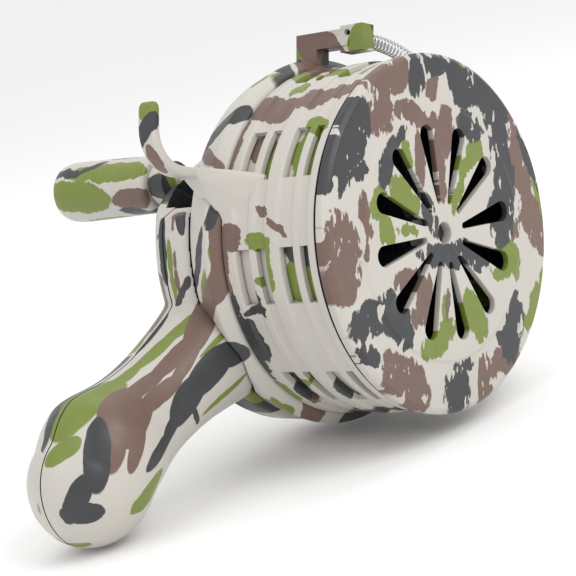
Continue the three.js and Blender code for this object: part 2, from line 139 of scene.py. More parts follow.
def rounded_path(points, radius, steps=5):
    """A profile with its inner corners rounded."""
    out = [points[0]]
    for before, corner, after in zip(points, points[1:], points[2:]):
        p, c, q = Vector(before), Vector(corner), Vector(after)
        r = min(radius, (p - c).length * 0.45, (q - c).length * 0.45)
        a, b = c + (p - c).normalized() * r, c + (q - c).normalized() * r
        for i in range(steps + 1):
            t = i / steps
            out.append(tuple((1 - t) ** 2 * a + 2 * t * (1 - t) * c + t * t * b))
    out.append(points[-1])
    return out


def modified(obj, kind, **values):
    """Applies one modifier."""
    modifier = obj.modifiers.new(kind, kind)
    for key, value in values.items():
        setattr(modifier, key, value)
    bpy.context.view_layer.update()
    evaluated = obj.evaluated_get(bpy.context.evaluated_depsgraph_get())
    mesh = bpy.data.meshes.new_from_object(evaluated)
    obj.modifiers.clear()
    old, obj.data = obj.data, mesh
    bpy.data.meshes.remove(old)
    return obj


def combine(obj, other, operation):
    """Adds, cuts or keeps what is common with another closed body, a bmesh or an object, which is used up."""
    if isinstance(other, bmesh.types.BMesh):
        other = make_object("tool", other)
    modified(obj, "BOOLEAN", operation=operation, object=other, solver="MANIFOLD")
    bpy.data.objects.remove(other)
    return obj


def joined(bodies):
    """Several separate bodies in one bmesh, as one boolean tool."""
    whole = bmesh.new()
    for bm in bodies:
        mesh = bpy.data.meshes.new("part")
        bm.to_mesh(mesh)
        bm.free()
        whole.from_mesh(mesh)
        bpy.data.meshes.remove(mesh)
    bmesh.ops.recalc_face_normals(whole, faces=whole.faces)
    return whole


def soften(obj, width, angle=38, segments=3):
    return modified(obj, "BEVEL", width=width, segments=segments, limit_method="ANGLE",
                    angle_limit=math.radians(angle), use_clamp_overlap=True, harden_normals=False)


def finished(obj, body, material, smooth_angle=35, replaces=(), painted_shade_faces=None):
    """Carries the mesh to the row frame, shades it and ties it to its CAD body.

    The last argument, a test of (centre, normal), picks the parting faces and inner walls that take the black
    moulding colour as painted shade in the seams and hollows.
    """
    painted_shade_polygons = [p.index for p in obj.data.polygons if painted_shade_faces and painted_shade_faces(p.center, p.normal)]
    obj.data.transform(TO_ROW)
    for polygon in obj.data.polygons:
        polygon.use_smooth = True
    obj.data.set_sharp_from_angle(angle=math.radians(smooth_angle))
    obj.data.materials.clear()
    obj.data.materials.append(material)
    # painted shade: the picked faces take black plastic so that seams, trenches and hollows look dark
    if painted_shade_polygons:
        obj.data.materials.append(black_plastic)
        for index in painted_shade_polygons:
            obj.data.polygons[index].material_index = 1
    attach(obj, body)
    if replaces:
        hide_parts(*replaces)
    return obj


# ------------------------------------------------------------------ materials

BEIGE = (0.51, 0.482, 0.44)
GREEN = (0.165, 0.212, 0.038)
BROWN = (0.155, 0.098, 0.079)
CHARCOAL = (0.041, 0.042, 0.045)
SCUFFED = (0.72, 0.69, 0.64)


def scaled(tint, factor):
    return tuple(c * factor for c in tint)


class Graph:
    """A short way to write a shader's node tree."""

    def __init__(self, name):
        self.material = bpy.data.materials.new(name)
        self.material.use_nodes = True
        self.tree = self.material.node_tree
        self.shader = self.tree.nodes["Principled BSDF"]

    def node(self, kind, inputs=None, **values):
        node = self.tree.nodes.new(kind)
        for key, value in values.items():
            setattr(node, key, value)
        for key, value in (inputs or {}).items():
            self.put(node.inputs[key], value)
        return node

    def put(self, socket, value):
        if isinstance(value, bpy.types.NodeSocket):
            self.tree.links.new(value, socket)
        else:
            socket.default_value = value

    def math(self, operation, a, b=0.0, clamp=False):
        return self.node("ShaderNodeMath", {0: a, 1: b}, operation=operation, use_clamp=clamp).outputs[0]

    def vector(self, operation, a, b=(0, 0, 0)):
        return self.node("ShaderNodeVectorMath", {0: a, 1: b}, operation=operation).outputs["Vector"]

    def noise(self, where, scale, detail=3.0, rough=0.55, colour=False):
        node = self.node("ShaderNodeTexNoise",
                         {"Vector": where, "Scale": scale, "Detail": detail, "Roughness": rough})
        return node.outputs["Color" if colour else "Fac"]

    def mapping(self, where, location=(0, 0, 0), rotation=(0, 0, 0), scale=(1, 1, 1), kind="TEXTURE"):
        return self.node("ShaderNodeMapping", {"Vector": where, "Location": location, "Rotation": rotation,
                                               "Scale": scale}, vector_type=kind).outputs[0]

    def ramp(self, value, low, high, to_low=0.0, to_high=1.0):
        return self.node("ShaderNodeMapRange", {"Value": value, "From Min": low, "From Max": high,
                                                "To Min": to_low, "To Max": to_high}).outputs[0]

    def mix(self, factor, a, b):
        node = self.node("ShaderNodeMix", data_type="RGBA")
        self.put(node.inputs["Factor"], factor)
        for socket, value in ((node.inputs[6], a), (node.inputs[7], b)):
            self.put(socket, (*value, 1) if isinstance(value, tuple) and len(value) == 3 else value)
        return node.outputs[2]

    def length(self, where):
        return self.node("ShaderNodeVectorMath", {0: where}, operation="LENGTH").outputs["Value"]

    def parts(self, where):
        return self.node("ShaderNodeSeparateXYZ", {0: where}).outputs

    def flat_point(self, a, b):
        return self.node("ShaderNodeCombineXYZ", {0: a, 1: b, 2: 0.0}).outputs[0]

    def base(self, colour, rough):
        self.put(self.shader.inputs["Base Color"], colour)
        self.put(self.shader.inputs["Roughness"], rough)

    def bump(self, height, strength, distance):
        node = self.node("ShaderNodeBump", {"Height": height, "Strength": strength, "Distance": distance})
        self.put(self.shader.inputs["Normal"], node.outputs[0])

    def drum_space(self):
        """Object coordinates as millimetres in the drum frame."""
        where = self.node("ShaderNodeTexCoord").outputs["Object"]
        return self.mapping(where, tuple(AXIS), (0, LEAN, 0), (MM, MM, MM))


PATCH_SPREAD = 1.1  # the film's patches run a little wider than their drawn ellipses
STREAK_SPREAD = 1.12
STREAK_HALF_LENGTH = 0.62  # of the way between its stops, so that neighbouring streaks join
COARSE_TEAR, FINE_TEAR, FINE_SHARE = 0.16, 0.55, 0.45


def nearest(graph, field, local):
    """The smaller of the field so far and the distance in one patch's own space."""
    length = graph.length(local)
    return length if field is None else graph.math("MINIMUM", field, length)


def ellipse_field(graph, where, patches):
    """Distance to the nearest patch, 1 at its edge. A patch is (a, b, half length, half width, tilt)."""
    field = None
    for a, b, long, wide, tilt in patches:
        local = graph.mapping(where, (a, b, 0), (0, 0, math.radians(tilt)),
                              (long * PATCH_SPREAD, wide * PATCH_SPREAD, 1))
        field = nearest(graph, field, local)
    return field


def streak_field(graph, where, streaks):
    """The same for streaks, each (from, to, half width) in three dimensions."""
    field = None
    for start, end, wide in streaks:
        p, q = Vector(start), Vector(end)
        turn = (q - p).to_track_quat("X", "Z").to_euler()
        long = (q - p).length * STREAK_HALF_LENGTH + wide
        thick = wide * STREAK_SPREAD
        local = graph.mapping(where, tuple((p + q) / 2), tuple(turn), (long, thick, thick))
        field = nearest(graph, field, local)
    return field


def jagged(graph, where, amount, along=(1, 1, 1), grain_bearing=0):
    """Shifts a point by fine and coarse noise, which gives a patch its torn edge."""
    turned = graph.mapping(where, rotation=(0, math.radians(grain_bearing), 0), kind="POINT")
    stretched = graph.vector("MULTIPLY", turned, along)
    middle = (0.5, 0.5, 0.5)
    coarse = graph.vector("SUBTRACT", graph.noise(stretched, COARSE_TEAR, 2, 0.5, True), middle)
    fine = graph.vector("SUBTRACT", graph.noise(stretched, FINE_TEAR, 3, 0.6, True), middle)
    shift = graph.vector("ADD", graph.vector("MULTIPLY", coarse, (amount,) * 3),
                         graph.vector("MULTIPLY", fine, (amount * FINE_SHARE,) * 3))
    return graph.vector("ADD", where, shift)


def camouflage(name, place, layers, loose=None, amount=5.0, along=(1, 1, 1), field=ellipse_field,
               grain_bearing=0):
    """A satin film in four colours.

    place(graph, drum point) gives the surface coordinates of the patches. loose is (threshold, mask) for
    patches left to noise, where mask(graph, drum point) says where they go, or is None for everywhere.
    """
    graph = Graph(name)
    point = graph.drum_space()
    torn = jagged(graph, place(graph, point), amount, along, grain_bearing)
    colour = graph.mix(graph.noise(point, 0.05, 2), scaled(BEIGE, 0.95), scaled(BEIGE, 1.04))
    for index, (tint, patches) in enumerate(layers):
        mask = None
        if patches:
            mask = graph.ramp(field(graph, torn, patches), 1.03, 0.97)
        if loose:
            threshold, keep = loose
            elsewhere = graph.mapping(torn, (37.0 * index, 11.0, 5.0 * index), kind="POINT")
            cloud = graph.noise(elsewhere, 0.045, 1.5, 0.4)
            random = graph.ramp(cloud, threshold, threshold + 0.006)
            if keep is not None:
                random = graph.math("MULTIPLY", random, keep(graph, point))
            mask = random if mask is None else graph.math("MAXIMUM", mask, random)
        shade = graph.mix(graph.noise(point, 0.35, 4), scaled(tint, 0.86), scaled(tint, 1.12))
        colour = graph.mix(mask, colour, shade)
    scratches = graph.noise(graph.vector("MULTIPLY", point, (1, 1, 0.35)), 0.9, 5, 0.7)
    colour = graph.mix(graph.ramp(scratches, 0.735, 0.75, 0.0, 0.55), colour, SCUFFED)
    graph.base(colour, graph.ramp(graph.noise(point, 0.3, 4), 0.3, 0.7, 0.3, 0.44))
    graph.shader.inputs["Specular IOR Level"].default_value = 0.4
    graph.bump(graph.noise(point, 0.7, 4, 0.6), 0.12, 0.0002)
    return graph.material


def front_plane(graph, point):
    """(x, z) of the flat cover."""
    parts = graph.parts(point)
    return graph.flat_point(parts[0], parts[2])


def round_drum(graph, point):
    """(degrees up from the -X side, y) of a cylinder about the rotor axis."""
    parts = graph.parts(point)
    angle = graph.math("ARCTAN2", parts[2], graph.math("MULTIPLY", parts[0], -1.0))
    return graph.flat_point(graph.math("MULTIPLY", angle, 180 / math.pi), parts[1])


def same_point(graph, point):
    return point


def unseen_angle(graph, point):
    """1 beyond about 79 degrees from the -X side, where no patches are drawn."""
    degrees = graph.parts(round_drum(graph, point))[0]
    return graph.ramp(graph.math("ABSOLUTE", degrees), 78.0, 80.0)


def behind(graph, point):
    """1 towards the rear of the housing and on its far side."""
    parts = graph.parts(point)
    rear = graph.ramp(parts[1], 66.0, 67.0)
    return graph.math("MAXIMUM", rear, graph.ramp(parts[0], -31.0, -29.0))


COVER_PATCHES = [
    (GREEN, [
        (-20, 10, 8, 4.2, -30), (-31, 6, 5, 4.5, 60), (-28, -2, 6.5, 3.4, -70), (-18, 0, 5, 1.7, 0),
        (-18, 22, 5.5, 2, 105), (13, 25, 8, 3.8, 30), (9, 18, 10, 2.4, 68), (5, 10, 4, 1.7, 80),
        (-5, -34, 6.5, 4, 20), (4, -29, 7, 3.4, 0), (15, -24, 8.5, 4.6, -60), (0, -22, 5, 2, 80),
        (33, -6, 7.5, 5.6, -50), (27, -11, 4, 2.8, 0), (10.5, 49, 6.5, 2, 100), (-40, -41, 7, 2.2, -45),
        (-30, -48, 4, 1.5, -30), (50, -16, 9, 3, 62), (44, -25, 4, 2.8, 70), (51, 13, 14, 1.6, -68)]),
    (BROWN, [
        (-27, 45, 10, 6, 35), (-30, 34, 8, 5.6, 60), (-20, 47, 6, 3, 80), (-16, 35, 8, 3.6, -10),
        (-10, 34, 7, 3.4, 0), (0, 31, 8, 4.6, 90), (-2, 19, 10, 2.6, 98), (-12, 22, 9, 2.4, 95),
        (-5, 45, 5, 2.6, 80), (36, 35, 10, 3, -72), (40, 22, 12, 5, -65), (46, 9, 12, 5.4, -58),
        (51, 0, 5, 3.4, -40), (37, 4, 5, 2.8, 50), (-47, -5, 9, 6, -60), (-46, -14, 9, 6.4, 90),
        (-53, -8, 5, 2.5, 70), (-50, -19, 5, 3.2, 0), (-37.5, 3, 6.5, 2, 100), (-36.5, -6, 4.5, 1.7, 70),
        (-18, -15, 6.5, 3.4, 20), (-11, -21, 8.5, 4.6, 75), (-23, -43, 8, 5.6, -40), (-14, -47, 9, 5.8, -65),
        (-26, -39, 4, 3, 0), (20, -44, 8, 3, 80), (31, -38, 9, 4, 20), (22, -49, 4, 3, 60),
        (1, -22, 4, 1.2, 90)]),
    (CHARCOAL, [
        (-42.5, 27, 11, 7, 78), (-49, 17, 10, 7.5, 62), (-55, 11, 5.5, 4, 10), (-39, 15, 3.6, 2.6, 45),
        (-41, 35, 4, 3, 0), (-12.5, 48, 8, 4.6, 80), (-3, 51, 8, 3.2, 5), (7, 47, 8, 5, -60),
        (18, 47, 9, 6.6, -10), (26, 41, 12, 6.4, -62), (13, 34, 6.5, 5, -10), (30, 23, 12, 6, -75),
        (29, 7, 9, 7, 90), (-27, 20, 9, 3, 68), (-21, 28, 3.4, 2, 60), (-7, 5, 7, 3.4, 118),
        (0, -7, 13, 3.8, 0), (13, -6, 9, 4, -12), (-36, -28, 8.5, 5.6, 20), (-24, -26, 9, 6, -40),
        (-19, -32, 4.5, 4, 60), (-35, -38, 5.5, 2.6, -30), (6.5, -48, 9, 6.4, 80), (11, -40, 4.5, 2.4, 20),
        (35.5, -29, 10, 5.4, 75), (30, -31, 3, 2.6, 0), (36, -18, 3, 1.1, 50), (46, 25, 12, 2.2, -52)]),
]

RING_PATCHES = [
    (GREEN, [(-5, 28, 5, 3, 80), (-12, 24.5, 8, 1.6, 0), (-18, 27.5, 3, 1.5, 60), (33, 12, 5, 3, 60),
             (63, 22, 9, 3, 90), (66, 38, 8, 4, 60), (-62, 41, 6, 2.5, 0), (-57, 31, 3, 2, 80),
             (54, 31, 3, 4, 80)]),
    (BROWN, [(-3, 39, 4.5, 4, 0), (-11, 41, 11, 1.3, 0), (4.5, 26, 3.2, 1.6, 60), (-1, 20, 4, 1.2, 45),
             (44, 38, 6, 6, 30), (42, 30, 5, 6, 70), (46, 20, 8, 5, 90), (49, 9, 7, 4, 90),
             (25, 41, 13, 1.2, 0), (74, 33, 8, 6, 90), (-66, 36, 6, 1.6, 0)]),
    (CHARCOAL, [(-37, 40.6, 17, 2.2, 0), (-38, 37.6, 8, 2, 0), (-27, 34, 4.6, 1.6, 100),
                (-24, 31.5, 5, 1.3, 10), (-62, 19, 5, 2.2, 0), (-64, 36, 5, 1.6, 0), (80, 25, 10, 4, 90)]),
]

DRUM_PATCHES = [
    (GREEN, [(-19, 14, 8, 8, 0), (24, 13, 10, 7, 0), (22, 27, 6, 3.4, 0), (66, 15, 9, 9, 0),
             (-60, 30, 8, 5, 0)]),
    (BROWN, [(28, 33, 6, 4.5, 0), (-22, 25, 4, 2, 0), (69, 31, 9, 6, 0)]),
    (CHARCOAL, [(-9.5, 13, 8, 3.4, 82), (28, 9.5, 4, 2, 30), (-66, 12, 9, 5, 0), (-58, 35, 9, 2.4, 0)]),
]

# the grip's sections: (reach from the rotor axis, sideways, half width, half depth, depth of its middle)
GRIP_STATIONS = [
    (36, 0, 26, 16.8, 62.7), (44, 0, 22.6, 17.2, 62.6), (50, 0.3, 20, 17.4, 62.6),
    (56, 0.9, 18.4, 17.5, 62.6), (62, 1.7, 17.1, 17.3, 62.8), (70, 2.9, 15.8, 16.7, 63.2),
    (78, 3.9, 15.3, 16.2, 63.6), (86, 5, 15.7, 16, 63.9), (93, 6, 16.9, 16.7, 64), (99, 6.8, 18.5, 18, 64),
    (104, 7.1, 19.3, 18.8, 64), (110, 5.6, 19.7, 18.9, 64), (115, 4.1, 18.9, 18.4, 64)]
TIP_REACH, TIP_SIDEWAYS, TIP_RADIUS, TIP_DEPTH = 114.8, 3.2, 17.8, 64
CASE_SKIN_R = 56
CRANK_BEARING, CRANK_RADIUS, KNOB_SKIN_R = 151.3, 39, 9.5


def across_grip(reach, sideways):
    """(x, z) at a reach along the grip's bearing and a distance to its side."""
    x, z = polar(reach, GRIP_BEARING)
    u, w = polar(sideways, GRIP_BEARING - 90)
    return x + u, z + w


def on_grip(reach, around):
    """A point near the grip's skin: a reach, and degrees round from the front and over the top."""
    rows = [row for row in GRIP_STATIONS if row[0] < TIP_REACH]
    rows.append((TIP_REACH, TIP_SIDEWAYS, TIP_RADIUS, TIP_RADIUS, TIP_DEPTH))
    if reach > TIP_REACH:
        flat = math.sqrt(max(0, TIP_RADIUS ** 2 - (reach - TIP_REACH) ** 2))
        sideways, half_width, half_depth, middle = TIP_SIDEWAYS, flat, flat, TIP_DEPTH
    else:
        a, b = next(pair for pair in zip(rows, rows[1:]) if pair[1][0] >= reach)
        t = (reach - a[0]) / (b[0] - a[0])
        sideways, half_width, half_depth, middle = [a[i] + (b[i] - a[i]) * t for i in range(1, 5)]
    angle = math.radians(around)
    x, z = across_grip(reach, sideways + half_width * math.sin(angle))
    return x, middle - half_depth * math.cos(angle), z


def on_case(bearing, depth):
    """A point near the skin of the case behind the drum."""
    x, z = polar(CASE_SKIN_R, bearing)
    return x, depth, z


def on_knob(depth, bearing):
    """A point near the knob's skin."""
    middle, out = polar(CRANK_RADIUS, CRANK_BEARING), polar(KNOB_SKIN_R, bearing)
    return middle[0] + out[0], depth, middle[1] + out[1]


def runs(place, *streaks):
    """Streaks from (half width, stop, stop, ...), one for each pair of neighbouring stops."""
    return [(place(*start), place(*end), wide)
            for wide, *stops in streaks for start, end in zip(stops, stops[1:])]


# most stops on the grip sit on a 5 mm by 5 degree grid, the others on whole millimetres and degrees
HOUSING_STREAKS = [
    (GREEN,
     runs(on_grip, (2, (55, 60), (65, 70), (80, 75), (95, 75)), (6.4, (95, 75), (110, 85)),
          (3.2, (115, 70), (120, 80)), (0.8, (50, 25), (65, 30)), (1.2, (60, 110), (70, 110)),
          (3, (105, -30), (115, -20)), (1.7, (130, -140), (130, -60)), (1, (60, -20), (75, -25)))
     + runs(on_case, (2, (185, 43), (200, 50)), (1.3, (185, 62), (200, 62)), (3.2, (115, 50), (125, 47)),
            (2.4, (100, 50), (110, 53)), (1.2, (230, 48), (245, 56)))),
    (BROWN,
     runs(on_grip, (2.5, (50, 60), (65, 50), (80, 50), (95, 50)), (4.6, (95, 50), (105, 45), (113, 35)),
          (4, (95, 40), (107, 30)), (1.7, (55, 45), (65, 40), (80, 30)),
          (2.6, (80, 30), (92, 30), (105, 20)), (2.2, (100, 20), (110, 10)))
     + runs(on_case, (2.2, (175, 43), (195, 43)), (3.4, (195, 43), (205, 50)),
            (1.5, (170, 60), (195, 60)), (2.2, (160, 45), (155, 52)))),
    (CHARCOAL,
     runs(on_grip, (3.4, (55, 5), (62, 15)), (4, (62, 15), (75, 10), (85, 0)),
          (2, (85, 0), (95, -10), (105, -10)), (1, (80, -5), (80, -30)), (3.6, (110, 50), (120, 35)),
          (3, (124, 40), (130, 30), (127, 10)), (1.1, (58, 95), (72, 95)))
     + runs(on_case, (2.2, (175, 44), (190, 50)), (1.3, (190, 50), (197, 54)), (1.8, (178, 65), (193, 65)),
            (1.3, (195, 56), (205, 64)), (2.9, (150, 52), (140, 44)), (1.7, (178, 57), (165, 60)),
            (1.1, (235, 50), (250, 56)))),
]

KNOB_STREAKS = [
    (GREEN, runs(on_knob, (5, (130, 190), (110, 205)), (3.4, (118, 150), (90, 155)),
                 (4, (125, 20), (100, 30)), (3, (120, 280), (104, 280)))),
    (BROWN, runs(on_knob, (3.6, (98, 215), (88, 215)), (4, (110, 85), (92, 80)),
                 (3.5, (112, 325), (94, 320)))),
    (CHARCOAL, runs(on_knob, (1.6, (130, 145), (118, 150), (110, 125)), (3, (126, 45), (112, 50)),
                    (2.5, (98, 245), (90, 265)))),
]

HOOK_STREAKS = [
    (GREEN, [((-80, 47, 36), (-79, 47, 32), 3.2)]),
    (BROWN, [((-78, 47, 21), (-74, 47, 17), 2)]),
    (CHARCOAL, [((-80, 45, 30), (-80, 50, 25), 2.6)]),
]

STEP_R = 39.5  # where the cover's raised middle ends
COVER_TEAR = {"amount": 4.4, "along": (1.25, 0.55, 1)}


def within(layers, keep):
    """The patches that reach one part of the cover: keep(nearest, farthest) from its centre."""
    chosen = []
    for tint, patches in layers:
        spans = [(patch, math.hypot(patch[0], patch[1])) for patch in patches]
        chosen.append((tint, [patch for patch, away in spans if keep(away - patch[2], away + patch[2])]))
    return chosen


# two materials share the cover, because one with all of its patches renders black
camo_cover = camouflage("camo_cover", front_plane,
                        within(COVER_PATCHES, lambda near, far: near < STEP_R - 0.5), **COVER_TEAR)
camo_rim = camouflage("camo_rim", front_plane, within(COVER_PATCHES, lambda near, far: far > STEP_R),
                      **COVER_TEAR)
camo_ring = camouflage("camo_ring", round_drum, RING_PATCHES, (0.57, unseen_angle), 3.0, (1.4, 1, 1))
camo_drum = camouflage("camo_drum", round_drum, DRUM_PATCHES, (0.55, unseen_angle), 3.0)
camo_shell = camouflage("camo_shell", same_point, HOUSING_STREAKS, (0.57, behind), 1.5, (0.3, 1, 1),
                        streak_field, GRIP_BEARING)
camo_knob = camouflage("camo_knob", same_point, KNOB_STREAKS, None, 4.0, field=streak_field)
camo_hook = camouflage("camo_hook", same_point, HOOK_STREAKS, None, 2.5, field=streak_field)
camo_arm = camouflage("camo_arm", same_point, [(GREEN, []), (BROWN, []), (CHARCOAL, [])], (0.55, None), 3.0)

METAL_GRAIN = (3, 0.4, 3)


def metal(name, tint, rough):
    graph = Graph(name)
    lines = graph.noise(graph.vector("MULTIPLY", graph.drum_space(), METAL_GRAIN), 1.0, 4, 0.6)
    graph.base(graph.mix(lines, scaled(tint, 0.8), scaled(tint, 1.1)),
               graph.ramp(lines, 0.3, 0.7, rough - 0.08, rough + 0.1))
    graph.shader.inputs["Metallic"].default_value = 1.0
    graph.bump(lines, 0.1, 0.0001)
    return graph.material


def plastic(name, tint, rough):
    graph = Graph(name)
    point = graph.drum_space()
    cloud = graph.noise(point, 0.25, 4, 0.6)
    graph.base(graph.mix(cloud, scaled(tint, 0.82), scaled(tint, 1.15)),
               graph.ramp(cloud, 0.3, 0.7, rough - 0.05, rough + 0.12))
    graph.bump(graph.noise(point, 1.5, 3), 0.1, 0.0001)
    return graph.material


steel = metal("steel", (0.62, 0.62, 0.61), 0.28)
brass = metal("brass", (0.68, 0.47, 0.18), 0.32)
black_plastic = plastic("black_plastic", (0.022, 0.026, 0.034), 0.22)
nylon = plastic("nylon", (0.76, 0.74, 0.68), 0.42)
# painted shade: a near-black steel that stands in for the shade inside the drum
shaded_steel = metal("shaded_steel", (0.05, 0.048, 0.046), 0.4)
OWN = {"steel": steel, "brass": brass, "black_plastic": black_plastic, "nylon": nylon,
       "camo_cover": camo_cover,
       "camo_drum": camo_drum, "camo_shell": camo_shell, "camo_ring": camo_ring, "camo_knob": camo_knob}
# painted shade: the shaft, nut and bush deep in the drum take the near-black steel
SHADED_INSIDE = ("rotor_shaft", "rotor_nut", "front_bush")

for part in frame["record"]["subparts"]:
    node = frame["nodes"][part["node"]]
    node.data.materials.clear()
    node.data.materials.append(shaded_steel if part["node"] in SHADED_INSIDE else OWN[part["material_slot"]])

# ------------------------------------------------------------------ front cover

COVER_R = 55.0
PETALS, FIRST_PETAL = 12, 17


def petal_outline():
    """A slot along +X with a small round inner end and a large outer one."""
    near, far, narrow, wide = 10, 30.3, 1, 3.2
    points = [(far + wide * math.cos(a), wide * math.sin(a))
              for a in [math.radians(-90 + 12 * i) for i in range(16)]]
    points += [(near - narrow * math.cos(a), -narrow * math.sin(a))
               for a in [math.radians(-90 + 22.5 * i) for i in range(9)]]
    return points


cover_profile = rounded_path([
    (3.3, 4.5), (3.3, 0), (STEP_R - 0.8, 0), (STEP_R + 0.2, 0.6), (COVER_R - 1.6, 0.6), (COVER_R, 2.0),
    (COVER_R, 4.5), (48.3, 4.5), (48.3, 7.5), (46.3, 7.5), (46.3, 1.9), (6.5, 1.9), (6.5, 9), (3.65, 9),
    (3.65, 4.5)], 0.5)
cover = make_object("cover_disc", lathe(cover_profile, 288, closed=True))
petals = [turned_by(prism(petal_outline(), -1, 6), FIRST_PETAL + 360 / PETALS * i) for i in range(PETALS)]
combine(cover, joined(petals), "DIFFERENCE")
soften(cover, 0.35, 45)
# painted shade: the cover's inner faces, turned into the drum, take black plastic
finished(cover, "housing", camo_cover, 40, ["front_cover"], lambda c, n: n.y > 0.7)
cover.data.materials.append(camo_rim)
for polygon in cover.data.polygons:
    away = polygon.center - AXIS
    if polygon.material_index == 0 and math.hypot(away.x, away.z) > (STEP_R - 0.1) * MM:
        polygon.material_index = 2

# ------------------------------------------------------------------ drum and shutter ring

WINDOW_BEARINGS = [156, 111, 66, 21, -24, -74, -119, -164]
WINDOW_ROWS = [(8.3, 11.7), (14.4, 19.4), (25, 28.8), (31.8, 36.8)]
TRAVEL = 21.5

drum_profile = [(48.6, 5.3), (51.6, 5.3), (51.6, 46.7), (48.6, 46.7)]
drum = make_object("drum_wall", lathe(drum_profile, 256, closed=True))
combine(drum, joined([wedge(46, 54, b + TRAVEL, 17, 8.5, 37) for b in WINDOW_BEARINGS]), "DIFFERENCE")
soften(drum, 0.2, 45, 2)
finished(drum, "housing", camo_drum, 40, ["stator_drum"])

ring_outside = rounded_path([
    (52, 5.3), (54.5, 5.3), (54.5, 8.1), (53.6, 8.5), (53.6, 11.6), (54.0, 11.9), (54.0, 14.1), (53.6, 14.5),
    (53.6, 19.3), (54.5, 19.7), (54.5, 24.7), (53.6, 25.1), (53.6, 28.6), (54.0, 29), (54.0, 31.4),
    (53.6, 31.8), (53.6, 36.7), (54.5, 37.1), (54.5, 41.7), (52, 41.7)], 0.45)
ring = make_object("ring_wall", lathe(ring_outside, 288, closed=True))
ports = [wedge(50, 56, bearing, 18, y0, y1) for bearing in WINDOW_BEARINGS for y0, y1 in WINDOW_ROWS]
combine(ring, joined(ports), "DIFFERENCE")
soften(ring, 0.3, 50, 3)
# painted shade: the ring's front face, in the gap behind the cover, takes black plastic
finished(ring, "shutter", camo_ring, 40, ["shutter_ring"], lambda c, n: c.y < 5.5 and n.y < -0.7)

lug = make_object("ring_lug", wedge(53, 65.4, 57.5, 4.3, 25.1, 32.9))
soften(lug, 0.7)
finished(lug, "shutter", camo_ring)

# ------------------------------------------------------------------ thumb hook


def section(centre, across, up, half_across, half_up, power=4.0, count=40):
    """A rounded rectangle in the plane of two directions."""
    ring = []
    for i in range(count):
        a = 2 * math.pi * i / count
        c, s = math.cos(a), math.sin(a)
        u = math.copysign(abs(c) ** (2 / power), c) * half_across
        v = math.copysign(abs(s) ** (2 / power), s) * half_up
        ring.append(tuple(Vector(centre) + Vector(across) * u + Vector(up) * v))
    return ring


BEND_X, LEVEL_Z, CURL_R = -67.0, 16.5, 12.0
BAR_Y, BAR_HALF_Y, BAR_HALF_Z = 47.5, 3.3, 1.65


def hook_bar():
    """The flat bar: level from its root, then curled up at its end."""
    rings = []
    for x in (-56.8, -58.5, -60.5, -63, -65.5):
        rings.append(section((x, BAR_Y, LEVEL_Z), (0, 1, 0), (0, 0, 1), BAR_HALF_Y, BAR_HALF_Z, 4.5))
    for i in range(19):
        a = math.radians(90 * i / 18)
        centre = (BEND_X - CURL_R * math.sin(a), BAR_Y, LEVEL_Z + CURL_R * (1 - math.cos(a)))
        up = (math.sin(a), 0, math.cos(a))
        rings.append(section(centre, (0, 1, 0), up, BAR_HALF_Y, BAR_HALF_Z, 4.5))
    for z, shrink in ((31, 0), (33.5, 0), (34.7, 0.12), (35.5, 0.45), (35.9, 0.9)):
        rings.append(section((BEND_X - CURL_R, BAR_Y, z), (0, 1, 0), (1, 0, 0),
                             BAR_HALF_Y - shrink, BAR_HALF_Z - shrink, 4.5))
    return add_rings(bmesh.new(), rings)


def hook_web():
    """The gusset between the ring and the root of the bar, with a flat top."""
    top, bottom = LEVEL_Z + BAR_HALF_Z, LEVEL_Z - BAR_HALF_Z
    points = []
    for y, bearing in ((27.5, 163.5), (27.5, 165), (32, 171), (37, 176), (41.6, 180)):
        x, z = polar(53.2, bearing)
        points += [(x, y, z), (x + 1.5, y, z)]
    points += [(-50.3, 41.6, top), (-50.3, 28, top - 2.2), (-51, 28, top - 2.6)]
    points += [(x, y, z) for x in (-57, -61.5) for y in (44.3, 50.7) for z in (bottom, top)]
    bm = bmesh.new()
    for p in points:
        bm.verts.new(p)
    hull = bmesh.ops.convex_hull(bm, input=bm.verts)
    inner = [v for v in hull["geom_interior"] if isinstance(v, bmesh.types.BMVert)]
    bmesh.ops.delete(bm, geom=inner, context="VERTS")
    return bm


hook = make_object("thumb_hook", hook_web())
combine(hook, lathe([(0.01, 41.9), (55.6, 41.9), (58.7, 45.1), (58.7, 70), (0.01, 70)], 192), "DIFFERENCE")
combine(hook, hook_bar(), "UNION")
modified(hook, "REMESH", mode="VOXEL", voxel_size=0.32, adaptivity=0.0)
modified(hook, "SMOOTH", factor=0.5, iterations=9)
finished(hook, "shutter", camo_hook, 50)

# ------------------------------------------------------------------ grip and housing

SEAM_SHELL = 54.5
CASE_FRONT = 54.8
CASE_SPLIT = 64.6
HALF_GAP = 0.25  # of the seam between the middle and rear cases
FLAT_BEARING = 125  # the way that the flat side of the case faces
FAR = 200  # beyond the whole siren


def smooth_stations(reach):
    """The grip's section at a reach, on a smooth curve through the stations."""
    rows = GRIP_STATIONS
    k = next(i for i in range(len(rows) - 1) if rows[i + 1][0] >= reach)
    before, a, b, after = rows[max(0, k - 1)], rows[k], rows[k + 1], rows[min(len(rows) - 1, k + 2)]
    t = (reach - a[0]) / (b[0] - a[0])
    out = [reach]
    for c in range(1, 5):
        slope_a = (b[c] - before[c]) / max(1e-6, b[0] - before[0]) * (b[0] - a[0])
        slope_b = (after[c] - a[c]) / max(1e-6, after[0] - a[0]) * (b[0] - a[0])
        out.append((2 * t ** 3 - 3 * t ** 2 + 1) * a[c] + (t ** 3 - 2 * t ** 2 + t) * slope_a
                   + (-2 * t ** 3 + 3 * t ** 2) * b[c] + (t ** 3 - t ** 2) * slope_b)
    return out


